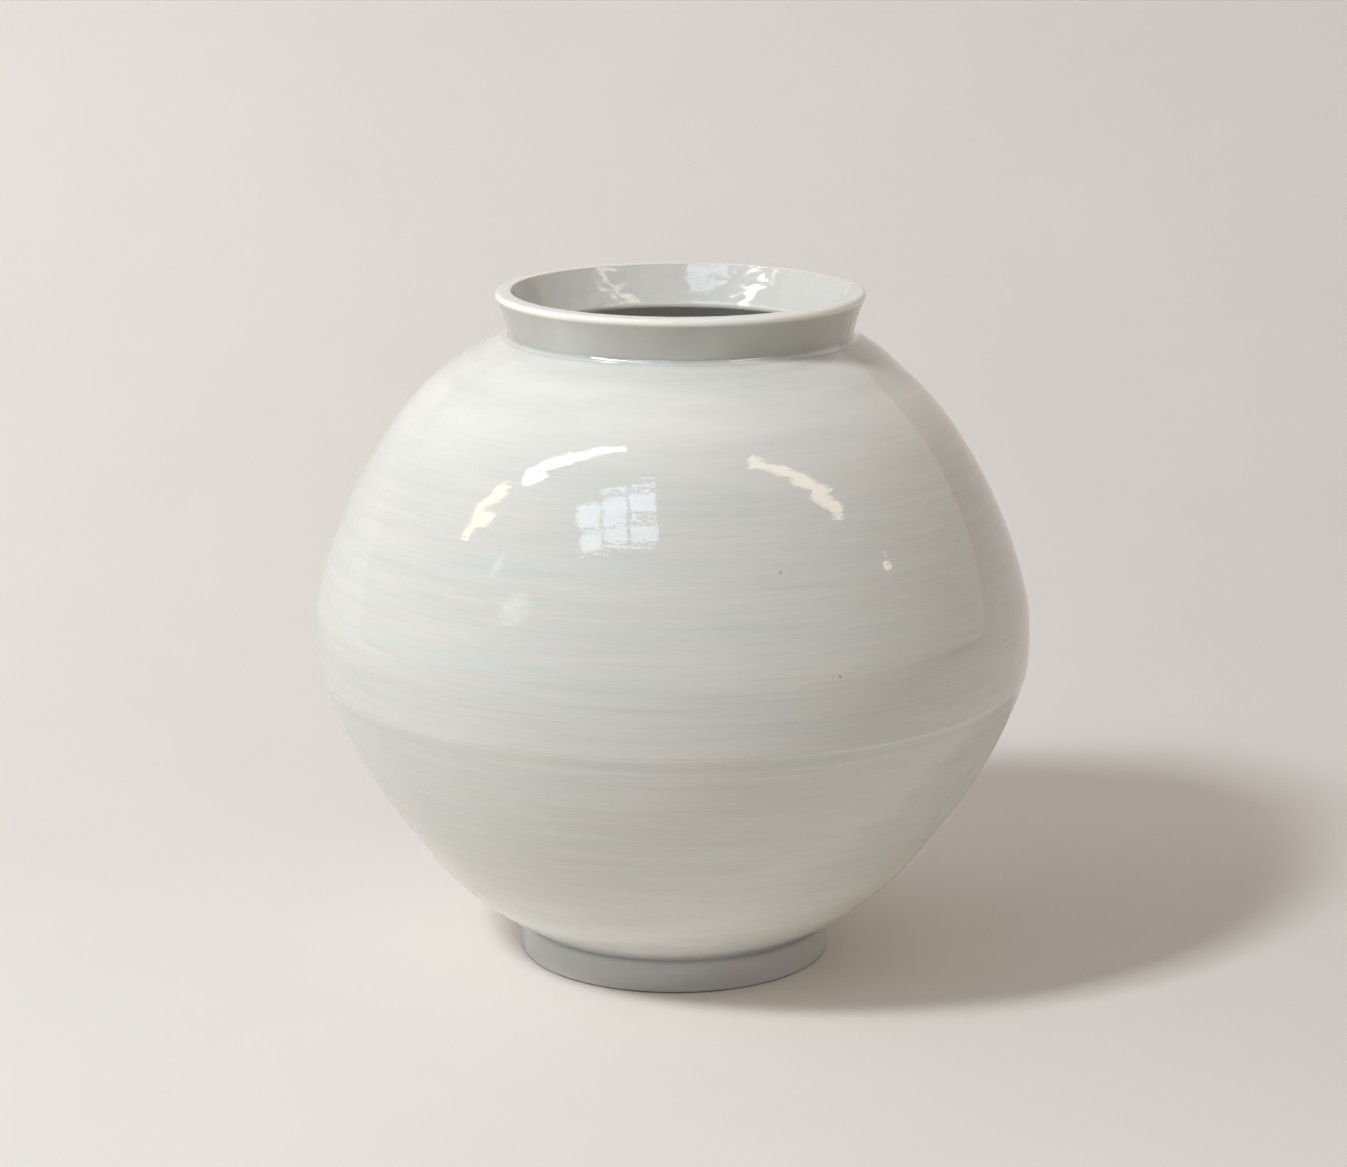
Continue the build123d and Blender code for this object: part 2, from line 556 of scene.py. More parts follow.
        # Smooth faces, with an edge kept wherever the outline turns a corner
        smooth = "GeometryNodeSetShadeSmooth"
        form = graph.add(smooth, {"Geometry": form.outputs[0], "Shade Smooth": True})
        bend = graph.add("GeometryNodeInputMeshEdgeAngle").outputs["Unsigned Angle"]
        corner = graph.math("GREATER_THAN", bend, math.radians(hands.corner))
        inputs = {"Geometry": form.outputs[0], "Selection": corner, "Shade Smooth": False}
        form = graph.add(smooth, inputs, domain="EDGE")
        form = graph.add("GeometryNodeRealizeInstances", {"Geometry": form.outputs[0]})
        inputs = {"Geometry": form.outputs[0], "Material": given["Finish"]}
        form = graph.add("GeometryNodeSetMaterial", inputs)
        graph.add("NodeGroupOutput", {0: form.outputs[0]})
        return tree

    def throw(
        self, name: str, outline: Outline, finish: bpy.types.Material, **changes: float
    ) -> bpy.types.Object:
        """Turn an outline into a plain mesh piece.

        Args:
            name: Name of the piece.
            outline: Its half section.
            finish: Its material.
            changes: Inputs of the tree that differ for this piece, with _ for each space.

        Returns:
            The piece, at the origin, with its place in its mesh.
        """
        piece = bpy.data.objects.new(name, outline.mesh(name + "_outline"))
        bpy.context.scene.collection.objects.link(piece)
        modifier = piece.modifiers.new("thrown", "NODES")
        modifier.node_group = self.tree
        values = {key: value for key, (_, value) in self._sockets().items()}
        values["Finish"] = finish
        values.update({key.replace("_", " "): value for key, value in changes.items()})
        for item in self.tree.interface.items_tree:
            if item.item_type == "SOCKET" and item.in_out == "INPUT" and item.name in values:
                modifier[item.identifier] = values[item.name]
        graph = bpy.context.evaluated_depsgraph_get()
        mesh = bpy.data.meshes.new_from_object(piece.evaluated_get(graph), depsgraph=graph)
        piece.modifiers.clear()
        spare, piece.data = piece.data, mesh
        bpy.data.meshes.remove(spare)
        mesh.name = name
        mesh.materials.clear()
        mesh.materials.append(finish)
        return piece


# Effects that the finishes share


class Effects:
    """Shader node groups shared by the glazes."""

    def __init__(self) -> None:
        """Build each group once."""
        self.bands = self._bands()
        self.ripple = self._ripple()
        self.specks = self._specks()
        self.spot = self._spot()
        self.pool = self._level_line()

    @staticmethod
    def _group(name: str, inputs: dict[str, tuple[str, Any]], output: str) -> tuple[Graph, Any]:
        """Start a group with its sockets.

        Args:
            name: Name of the group.
            inputs: Socket type and value by input name.
            output: Name of its single number output.

        Returns:
            The graph and the group's input sockets.
        """
        tree = bpy.data.node_groups.new(name, "ShaderNodeTree")
        named_inputs(tree, inputs)
        tree.interface.new_socket(name=output, in_out="OUTPUT", socket_type=FLOAT)
        graph = Graph(tree)
        return graph, graph.add("NodeGroupInput").outputs

    @staticmethod
    def _around(graph: Graph, position: Any) -> tuple[Any, Any, Any]:
        """Split a place on the jar into its direction from the axis, its radius and its height."""
        x, y, z = graph.separate(position)
        level = graph.combine(x, y, 0.0)
        return graph.vector_math("NORMALIZE", level), graph.vector_math("LENGTH", level), z

    def _bands(self) -> bpy.types.NodeTree:
        """Long horizontal bands, as a brush or a hand leaves them on a turning pot."""
        sockets = {
            "Position": (VECTOR, None),
            "Centre": (FLOAT, Throwing.centre * MM),
            "Reach": (FLOAT, Throwing.reach * MM),
            "Pitch": (FLOAT, 0.012),
            "Drift": (FLOAT, 1.4),
            "Offset": (FLOAT, 0.0),
            "Contrast": (FLOAT, 1.0),
        }
        graph, given = self._group("throwing_bands", sockets, "Band")
        way, radius, z = self._around(graph, given["Position"])
        rise = graph.math("ARCTAN2", graph.math("SUBTRACT", z, given["Centre"]), radius)
        sweep = graph.math("DIVIDE", graph.math("MULTIPLY", rise, given["Reach"]), given["Pitch"])
        slide = graph.combine(0.0, 0.0, graph.math("ADD", sweep, given["Offset"]))
        spot = graph.vector_math("ADD", graph.vector_math("SCALE", way, given["Drift"]), slide)
        band = graph.math("SUBTRACT", graph.noise(spot, 1.0, 3.0, 0.6), 0.5)
        band = graph.math("ADD", graph.math("MULTIPLY", band, given["Contrast"]), 0.5, clamp=True)
        graph.add("NodeGroupOutput", {0: band})
        return graph.tree

    def _ripple(self) -> bpy.types.NodeTree:
        """Height of the glaze surface: fine pitting and brushed ridges."""
        sockets = {
            "Position": (VECTOR, None),
            "Peel Scale": (FLOAT, 640.0),
            "Peel": (FLOAT, 0.35),
            "Ridge Scale": (FLOAT, 560.0),
            "Ridge": (FLOAT, 0.65),
            "Turn": (FLOAT, 18.0),
        }
        graph, given = self._group("glaze_ripple", sockets, "Height")
        way, _, z = self._around(graph, given["Position"])
        peel = graph.noise(given["Position"], given["Peel Scale"], 0.0)
        slide = graph.combine(0.0, 0.0, graph.math("MULTIPLY", z, given["Ridge Scale"]))
        spot = graph.vector_math("ADD", graph.vector_math("SCALE", way, given["Turn"]), slide)
        ridge = graph.math("MULTIPLY", graph.noise(spot, 1.0, 1.0), given["Ridge"])
        height = graph.math("MULTIPLY_ADD", peel, given["Peel"], ridge)
        graph.add("NodeGroupOutput", {0: height})
        return graph.tree

    def _specks(self) -> bpy.types.NodeTree:
        """Mask of a few small iron specks."""
        sockets = {
            "Position": (VECTOR, None),
            "Scale": (FLOAT, 28.0),
            "Size": (FLOAT, 0.02),
            "Share": (FLOAT, 0.12),
        }
        graph, given = self._group("iron_specks", sockets, "Mask")
        inputs = {"Vector": given["Position"], "Scale": given["Scale"]}
        cells = graph.add("ShaderNodeTexVoronoi", inputs)
        chosen = graph.math("LESS_THAN", graph.separate(cells.outputs["Color"])[0], given["Share"])
        near = graph.ramp(cells.outputs["Distance"], 0.0, given["Size"], 1.0, 0.0)
        graph.add("NodeGroupOutput", {0: graph.math("MULTIPLY", chosen, near)})
        return graph.tree

    def _spot(self) -> bpy.types.NodeTree:
        """Mask of one round spot, placed by its direction from the axis and its level."""
        sockets = {
            "Position": (VECTOR, None),
            "Direction": (VECTOR, None),
            "Level": (FLOAT, 0.3),
            "Radius": (FLOAT, 0.0015),
            "Reach": (FLOAT, 0.22),
        }
        graph, given = self._group("iron_spot", sockets, "Mask")
        way, _, z = self._around(graph, given["Position"])
        turned = graph.vector_math("SUBTRACT", way, given["Direction"])
        x, y, _ = graph.separate(graph.vector_math("SCALE", turned, given["Reach"]))
        lift = graph.math("SUBTRACT", z, given["Level"])
        gap = graph.vector_math("LENGTH", graph.combine(x, y, lift))
        graph.add("NodeGroupOutput", {0: graph.ramp(gap, 0.0, given["Radius"], 1.0, 0.0)})
        return graph.tree

    def _level_line(self) -> bpy.types.NodeTree:
        """Mask of a wavering line around the jar at one level, such as pooled glaze at a joint, bare clay
        at the floor, or painted highlight and painted shade along a ridge.
        """
        sockets = {
            "Position": (VECTOR, None),
            "Level": (FLOAT, 0.0),
            "Above": (FLOAT, 0.004),
            "Below": (FLOAT, 0.004),
            "Waver": (FLOAT, 0.001),
        }
        graph, given = self._group("level_line_mask", sockets, "Mask")
        way, _, z = self._around(graph, given["Position"])
        waver = graph.math("SUBTRACT", graph.noise(way, 3.0, 2.0), 0.5)
        z = graph.math("MULTIPLY_ADD", waver, graph.math("MULTIPLY", given["Waver"], 2.0), z)
        gap = graph.math("SUBTRACT", z, given["Level"])
        over = graph.ramp(gap, 0.0, given["Above"], 1.0, 0.0)
        under = graph.ramp(graph.math("MULTIPLY", gap, -1.0), 0.0, given["Below"], 1.0, 0.0)
        graph.add("NodeGroupOutput", {0: graph.math("MULTIPLY", over, under)})
        return graph.tree


@dataclass(frozen=True)
class Line:
    """A band of colour around the jar at one level, in millimetres."""

    level: float
    above: float
    below: float
    colour: Colour
    strength: float
    waver: float = 0.8


@dataclass(frozen=True)
class Spot:
    """A single iron spot: its turn around the axis in degrees, its level and radius in millimetres."""

    turn: float
    level: float
    radius: float
    strength: float


@dataclass(frozen=True)
class Glaze:
    """Clear glaze over white porcelain: pitches in millimetres, the fine one a share of the tone's."""

    name: str
    body: Colour
    cool: Colour
    warm: Colour
    streaks: tuple[Colour, Colour]
    pooled: Colour
    thin: Colour
    roughness: float = 0.04
    tone_pitch: float = 7.0
    fine_pitch: float = 0.18
    hue_pitch: float = 28.0
    stroke_pitch: float = 1.7
    stroke: float = 0.75
    tone: float = 1.0
    tone_depth: float = 0.095
    fine_depth: float = 0.045
    ripple_depth: float = 0.1
    peel: float = 0.15
    ridge: float = 0.24
    coat: float = 0.0
    index: float = 1.5
    gloss_swing: float = 0.02
    speck_share: float = 0.05
    speck: float = 0.75
    lines: tuple[Line, ...] = ()
    spots: tuple[Spot, ...] = ()

    def material(self, effects: Effects) -> bpy.types.Material:
        """Build the material.

        Args:
            effects: The shared node groups.

        Returns:
            The finished material.
        """
        material = bpy.data.materials.new(self.name)
        material.use_nodes = True
        material.node_tree.nodes.clear()
        graph = Graph(material.node_tree)
        place = graph.add("ShaderNodeTexCoord").outputs["Object"]

        def effect(tree: bpy.types.NodeTree, **values: Any) -> bpy.types.NodeSocket:
            """Place a shared group and return its output."""
            node = graph.add("ShaderNodeGroup", node_tree=tree)
            graph.feed(node.inputs["Position"], place)
            for key, value in values.items():
                graph.feed(node.inputs[key.replace("_", " ")], value)
            return node.outputs[0]

        hue = effect(effects.bands, Pitch=self.hue_pitch * MM, Drift=1.2, Offset=11.3, Contrast=2.2)
        tone = effect(effects.bands, Pitch=self.tone_pitch * MM, Drift=2.2, Offset=3.1, Contrast=1.7)
        pitch = self.tone_pitch * self.fine_pitch * MM
        fine = effect(effects.bands, Pitch=pitch, Drift=3.4, Offset=7.9, Contrast=1.8)
        colour = graph.mix(hue, self.cool, self.warm)
        colour = graph.mix(0.5, self.body, colour)
        shade = 1.0
        for band, depth in ((tone, self.tone_depth), (fine, self.fine_depth)):
            swing = graph.math("SUBTRACT", band, 0.5)
            shade = graph.math("MULTIPLY_ADD", swing, depth * self.tone, shade)
        colour = graph.vector_math("SCALE", colour, shade)
        pitch = self.stroke_pitch * MM
        stroke = effect(effects.bands, Pitch=pitch, Drift=2.6, Offset=5.5, Contrast=1.0)
        for (start, end), streak in zip(((0.57, 0.7), (0.43, 0.3)), self.streaks):
            share = graph.ramp(stroke, start, end, 0.0, self.stroke)
            colour = graph.mix(share, colour, streak)
        # The pooled layer darkens the colour for pooled glaze and as painted shade; the thin layer
        # lightens it for thin glaze and as painted light
        layers = ((Depth.POOLED_AND_PAINTED_SHADE, self.pooled, 0.5), (Depth.THIN, self.thin, 1.0))
        for depth, tint, patchy in layers:
            layer = graph.add("ShaderNodeAttribute", attribute_name=depth.value).outputs["Fac"]
            uneven = graph.math("MULTIPLY_ADD", graph.math("SUBTRACT", hue, 0.5), patchy, 1.0)
            colour = graph.mix(graph.math("MULTIPLY", layer, uneven, clamp=True), colour, tint)
        for line in self.lines:
            sizes = {"Level": line.level, "Above": line.above, "Below": line.below, "Waver": line.waver}
            mask = effect(effects.pool, **{key: value * MM for key, value in sizes.items()})
            colour = graph.mix(graph.math("MULTIPLY", mask, line.strength), colour, line.colour)
        specks = effect(effects.specks, Share=self.speck_share)
        colour = graph.mix(graph.math("MULTIPLY", specks, self.speck), colour, IRON)
        for spot in self.spots:
            turn = math.radians(spot.turn)
            sizes = {"Direction": (math.cos(turn), math.sin(turn), 0.0), "Level": spot.level * MM}
            mask = effect(effects.spot, **sizes, Radius=spot.radius * MM)
            colour = graph.mix(graph.math("MULTIPLY", mask, spot.strength), colour, IRON)

        swing = graph.math("SUBTRACT", tone, 0.5)
        gloss = graph.math("MULTIPLY_ADD", swing, self.gloss_swing, self.roughness)
        height = effect(effects.ripple, Peel=self.peel, Ridge=self.ridge)
        inputs = {"Strength": 1.0, "Distance": self.ripple_depth * MM, "Height": height}
        bump = graph.add("ShaderNodeBump", inputs)
        inputs = {"Base Color": colour, "Roughness": gloss, "Normal": bump.outputs[0]}
        inputs.update({"IOR": self.index, "Coat Weight": self.coat})
        shader = graph.add("ShaderNodeBsdfPrincipled", inputs)
        graph.add("ShaderNodeOutputMaterial", {"Surface": shader.outputs[0]})
        return material


# Sub-assemblies


@dataclass(frozen=True)
class Dent:
    """A shallow finger mark in the outer wall, in millimetres."""

    place: Place
    depth: float
    width: float


@dataclass
class Jar:
    """Sizes that more than one piece of the jar uses, in millimetres."""

    total_height: float = 450.0
    wall: float = 8.0
    slip: float = 1.0
    foot_radius: float = 103.5
    foot_bore: float = 89.5
    foot_height: float = 24.0
    waist_radius: float = 235.2
    waist_height: float = 198.0
    key_depth: float = 3.0
    belly_radius: float = 237.5
    collar_radius: float = 113.75
    collar_foot: float = 422.0
    throat_radius: float = 97.0
    throat_spread: Point = (1.01, 0.33)
    rim_lean: float = 0.22
    lap: float = 0.02
    tuck: float = 0.3
    fine_step: float = 1.25
    plain_step: float = 6.0

    @property
    def foot_top(self) -> float:
        """Level of the top of the foot ring."""
        return self.foot_height - self.slip

    @property
    def collar_seat(self) -> float:
        """Level of the upper bowl's seat for the collar."""
        return self.collar_foot - self.slip

    @property
    def throat_low(self) -> Point:
        """Inner edge of the slip under the collar, where it meets the upper bowl."""
        return (self.throat_radius + self.throat_spread[0], self.collar_seat)

    @property
    def throat_high(self) -> Point:
        """Inner edge of the slip under the collar, where it meets the collar."""
        return (self.throat_radius + self.throat_spread[1], self.collar_foot)

    def rim(self, level: float) -> list[Point]:
        """Outer edge, groove and inner edge of the joint face at the waist."""
        return [
            (self.waist_radius + self.rim_lean * (level - self.waist_height), level),
            (self.waist_radius - self.wall / 2, level - self.key_depth),
            (self.waist_radius - self.wall, level),
        ]


@dataclass
class SubAssembly:
    """A group of pieces that were made and joined together."""

    jar: Jar
    wheel: Wheel
    finishes: dict[Slot, bpy.types.Material]

    def dress(
        self, name: str, outline: Outline, slot: Slot, node: str, **changes: float
    ) -> bpy.types.Object:
        """Throw a piece, give it its finish and put it in the place of its solid.

        Args:
            name: Name of the piece.
            outline: Its half section.
            slot: The record's material slot.
            node: The solid that it stands for.
            changes: Inputs of the throwing tree that differ for this piece.

        Returns:
            The finished piece.
        """
        piece = self.wheel.throw(name, outline, self.finishes[slot], **changes)
        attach(piece, BODY)
        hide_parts(node)
        return piece


@dataclass
class Foot(SubAssembly):
    """Foot ring and the slip that joins it to the lower bowl."""

    edge_round: float = 1.5
    fillet: float = 1.0
    step: float = 0.8

    def ring(self) -> bpy.types.Object:
        """Build the foot ring."""
        jar, edge = self.jar, self.edge_round
        bore, side, top = jar.foot_bore, jar.foot_radius, jar.foot_top
        outline = Outline()
        # Pooled glaze and painted shade: the ring darkens at its top corners, under the overhanging bowl,
        # and a little up its inner wall
        outline.touch(Depth.POOLED_AND_PAINTED_SHADE, (side, top), 2.6, 1.0).touch(Depth.POOLED_AND_PAINTED_SHADE, (bore, top), 6.0, 1.0)
        outline.run(straight((bore, edge), (bore, top), 3.0), pooled=0.3)
        outline.run(straight((bore, top), (side, top), 5.0))
        outline.run(straight((side, top), (side, edge), self.step), Marks.FAINT)
        outline.run(tangent_arc((side, edge), (0, -1), (side - edge, 0), 0.3))
        outline.run(straight((side - edge, 0), (bore + edge, 0), 2.0))
        outline.run(tangent_arc((bore + edge, 0), (-1, 0), (bore, edge), 0.3))
        return self.dress("glazed_foot_ring", outline, Slot.FOOT, "foot_ring")

    def seam(self) -> bpy.types.Object:
        """Build the slip under the bowl, with the corner outside it darkened as pooled glaze and painted
        shade.
        """
        jar = self.jar
        bore, side, low, high = jar.foot_bore, jar.foot_radius, jar.foot_top, jar.foot_height
        outline = Outline()
        outline.run(straight((bore, low), (bore, high), 0.5))
        outline.run(straight((bore, high), (side, high), 5.0))
        tip = (side + self.fillet, high + self.fillet * 0.62)
        # Pooled glaze and painted shade in the corner under the bowl
        outline.touch(Depth.POOLED_AND_PAINTED_SHADE, (side + 0.5, high), 4.0, 1.0)
        outline.run(straight((side, high), tip, 0.5))
        hem, edge = (side + jar.lap, low - self.fillet * 0.5), (side - jar.tuck, low)
        outline.run(tangent_arc(tip, (-0.95, -0.31), hem, 0.3))
        outline.run(straight(hem, edge, 0.5)).run(straight(edge, (bore, low), 5.0))
        return self.dress("foot_slip_line", outline, Slot.SLIP, "foot_slip_seam")

    def build(self) -> list[bpy.types.Object]:
        """Build both pieces."""
        return [self.ring(), self.seam()]


@dataclass
class Bowls(SubAssembly):
    """The two thrown bowls and the slip that joins them at the waist."""

    flank_drop: float = 94.0
    flank_set_in: float = 47.2
    haunch_rise: float = 24.6
    haunch_reach: float = 18.1
    haunch_wall: float = 10.0
    floor_thickness: float = 12.0
    belly_rise: float = 33.4
    knuckle_rise: float = 19.2
    knuckle_set_in: float = 2.35
    shoulder_drop: float = 60.0
    shoulder_reach: float = 71.4
    shoulder_wall: float = 9.0
    throat_wall: float = 6.6
    throat_undercut: float = 7.0
    bead_depth: float = 3.0
    bead_width: float = 16.0
    grooves: tuple[Roll, ...] = ((309.0, -0.03, 1.8), (291.5, -0.035, 1.5))
    dents: tuple[Dent, ...] = (
        Dent((-117.4, -166.7, 335.4), 0.2, 7.5),
        Dent((96.7, -169.9, 346.8), 0.1, 8.0),
    )
    turned: tuple[Roll, ...] = ((195.8, 0.06, 1.3), (190.5, -0.05, 2.6), (186.5, 0.04, 1.0))

    def lower(self) -> bpy.types.Object:
        """Build the lower bowl."""
        jar, fine, plain = self.jar, self.jar.fine_step, self.jar.plain_step
        rim = jar.rim(jar.waist_height - jar.slip / 2)
        flank_end = (jar.waist_radius - self.flank_set_in, jar.waist_height - self.flank_drop)
        haunch_end = (flank_end[0] - self.haunch_reach, flank_end[1] - self.haunch_rise)
        haunch = straight(haunch_end, flank_end, fine)
        flank = tangent_arc(flank_end, heading_at_end(haunch), rim[0], fine)
        foot_edge = (jar.foot_radius, jar.foot_height)
        base = tangent_arc(haunch_end, heading_at_end(haunch[::-1]), foot_edge, fine)

        slope = heading_at_end(haunch)
        inner_low = inset(haunch_end, slope, self.haunch_wall)
        inner_high = inset(flank_end, slope, jar.wall)
        inner_haunch = straight(inner_low, inner_high, plain)
        inner_slope = heading_at_end(inner_haunch)
        inner_flank = tangent_arc(inner_high, inner_slope, rim[2], plain)
        floor = (0.0, jar.foot_height + self.floor_thickness)
        inner_floor = eased(floor, (1, 0), inner_low, inner_slope, plain)

        # Pooled glaze and painted shade darken the base at the foot's edge and under it; painted light
        # lightens the base near the foot, where the floor throws light up, and the whole inside
        outline = Outline().touch(Depth.POOLED_AND_PAINTED_SHADE, foot_edge, 1.5, 0.6)
        outline.touch(Depth.THIN, (128.0, 42.0), 56.0, 0.9)
        for rows in (inner_floor, inner_haunch, inner_flank):
            outline.run(rows, thin=1.0)
        outline.run(straight(rim[2], rim[1], 2.0)).run(straight(rim[1], rim[0], 2.0))
        outline.run(rolled(flank, self.turned)[::-1], Marks.FULL)
        outline.run(haunch[::-1], Marks.FULL).run(base, Marks.FULL)
        outline.run(straight(foot_edge, (0.0, jar.foot_height), 8.0), pooled=0.3)
        return self.dress("glazed_lower_bowl", outline, Slot.BOWL, "lower_bowl")

    def upper(self) -> bpy.types.Object:
        """Build the upper bowl."""
        jar, fine, plain = self.jar, self.jar.fine_step, self.jar.plain_step
        rim = jar.rim(jar.waist_height + jar.slip / 2)
        belly = jar.waist_height + self.belly_rise
        widest = (jar.belly_radius, belly)
        knuckle_end = (jar.belly_radius - self.knuckle_set_in, belly + self.knuckle_rise)
        shoulder_start = (jar.collar_radius + self.shoulder_reach, jar.collar_seat - self.shoulder_drop)
        seat_edge = (jar.collar_radius, jar.collar_seat)
        skirt = tangent_arc(widest, (0, -1), rim[0], fine)
        knuckle = tangent_arc(widest, (0, 1), knuckle_end, fine)
        flank = tangent_arc(knuckle_end, heading_at_end(knuckle), shoulder_start, fine)
        shoulder = tangent_arc(shoulder_start, heading_at_end(flank), seat_edge, fine)

        inner_widest = (jar.belly_radius - jar.wall, belly)
        knuckle_in = inset(knuckle_end, heading_at_end(knuckle), jar.wall)
        shoulder_in = inset(shoulder_start, heading_at_end(flank), self.shoulder_wall)
        throat_edge = (jar.throat_radius + self.throat_undercut, jar.collar_seat - self.throat_wall)
        inner_skirt = tangent_arc(inner_widest, (0, -1), rim[2], plain)
        inner_knuckle = tangent_arc(inner_widest, (0, 1), knuckle_in, plain)
        inner_flank = tangent_arc(knuckle_in, heading_at_end(inner_knuckle), shoulder_in, plain)
        inner_shoulder = tangent_arc(shoulder_in, heading_at_end(inner_flank), throat_edge, plain)

        outline = Outline().touch(Depth.POOLED_AND_PAINTED_SHADE, seat_edge, 4.0, 0.5)
        # Painted light: the colour is lightened on the shoulder, which faces the light from above, and on
        # the whole inside, which shows at the throat
        outline.touch(Depth.THIN, (150.0, 398.0), 52.0, 0.75)
        for rows in (inner_skirt[::-1], inner_knuckle, inner_flank, inner_shoulder):
            outline.run(rows, thin=1.0)
        outline.run(straight(throat_edge, jar.throat_low, 0.6), Marks.FAINT, pooled=0.1)
        outline.run(straight(jar.throat_low, seat_edge, 6.0))
        outline.run(shoulder[::-1], Marks.FULL).run(rolled(flank, self.grooves)[::-1], Marks.FULL)
        outline.run(knuckle[::-1], Marks.FULL).run(skirt, Marks.FULL)
        outline.run(straight(rim[0], rim[1], 2.0)).run(straight(rim[1], rim[2], 2.0))
        piece = self.dress("glazed_upper_bowl", outline, Slot.BOWL, "upper_bowl")
        self.press(piece.data)
        return piece

    def press(self, mesh: bpy.types.Mesh) -> None:
        """Press the finger marks into a thrown bowl.

        Args:
            mesh: Its mesh.
        """
        spots, facing = (np.empty(len(mesh.vertices) * 3, np.float32) for _ in range(2))
        mesh.vertices.foreach_get("co", spots)
        mesh.vertices.foreach_get("normal", facing)
        spots, facing = spots.reshape(-1, 3), facing.reshape(-1, 3)
        for dent in self.dents:
            gap = np.linalg.norm(spots - np.array(dent.place) * MM, axis=1)
            spots -= facing * (dent.depth * MM * np.exp(-((gap / (dent.width * MM)) ** 2)))[:, None]
        mesh.vertices.foreach_set("co", spots.ravel())
        mesh.update()

    def seam(self) -> bpy.types.Object:
        """Build the slip between the bowls, with its smoothed bead inside."""
        jar = self.jar
        low, high = jar.rim(jar.waist_height - jar.slip / 2), jar.rim(jar.waist_height + jar.slip / 2)
        inner, half = low[2][0], self.bead_width / 2
        tail, top = (inner - 0.9, jar.waist_height - half), (inner + 1.4, jar.waist_height + half)
        crest = (inner - self.bead_depth, jar.waist_height)
        outline = Outline()
        lower_half = tangent_arc(crest, (0, -1), tail, 1.0)
        outline.run(lower_half[::-1]).run(tangent_arc(crest, (0, 1), top, 1.0))
        outline.run(straight(top, high[2], 2.0))
        outline.run(straight(high[2], high[1], 2.0)).run(straight(high[1], high[0], 2.0))
        outline.run(straight(high[0], low[0], 0.25), Marks.FULL)
        outline.run(straight(low[0], low[1], 2.0)).run(straight(low[1], low[2], 2.0))
        outline.run(straight(low[2], tail, 2.0))
        return self.dress("waist_slip_line", outline, Slot.SLIP, "waist_slip_seam")

    def build(self) -> list[bpy.types.Object]:
        """Build the bowls and their seam."""
        return [self.lower(), self.seam(), self.upper()]


